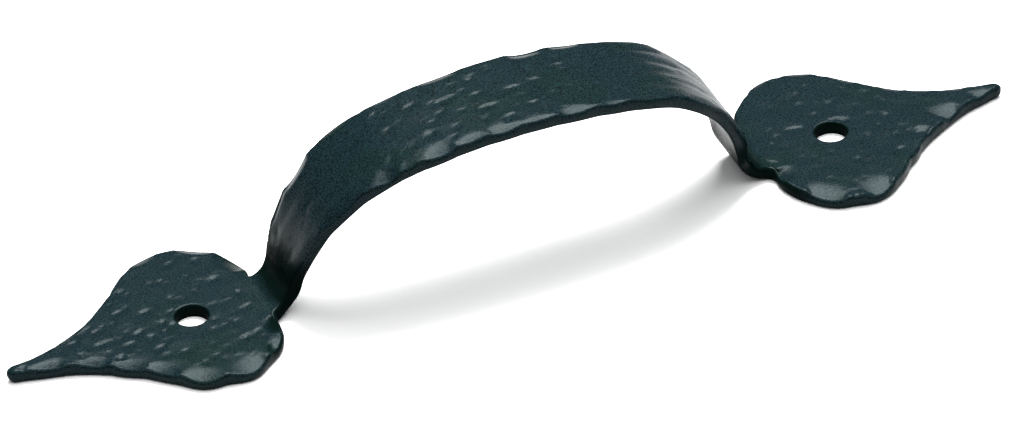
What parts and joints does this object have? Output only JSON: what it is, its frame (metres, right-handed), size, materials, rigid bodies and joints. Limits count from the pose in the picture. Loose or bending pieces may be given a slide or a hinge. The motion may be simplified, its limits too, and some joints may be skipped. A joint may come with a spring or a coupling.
{
  "type": "cabinet handle",
  "caption": "Hammered surface-mounted cabinet pull: a bowed strap grip between pointed spade-shaped end leaves, each with a screw hole, forged from one strip.",
  "frame": {"origin": "middle of the flat underside, halfway between the two leaves", "axes": "+X runs along the pull towards its right tip, +Y points from the front edge to the back edge, +Z points away from the door to the top of the grip"},
  "size_m": [0.165, 0.0359, 0.0265],
  "materials": {
    "black_paint": "satin blue-black paint over hammered steel"
  },
  "bodies": {
    "root": {"pull_handle": "black_paint"}
  },
  "joints": []
}
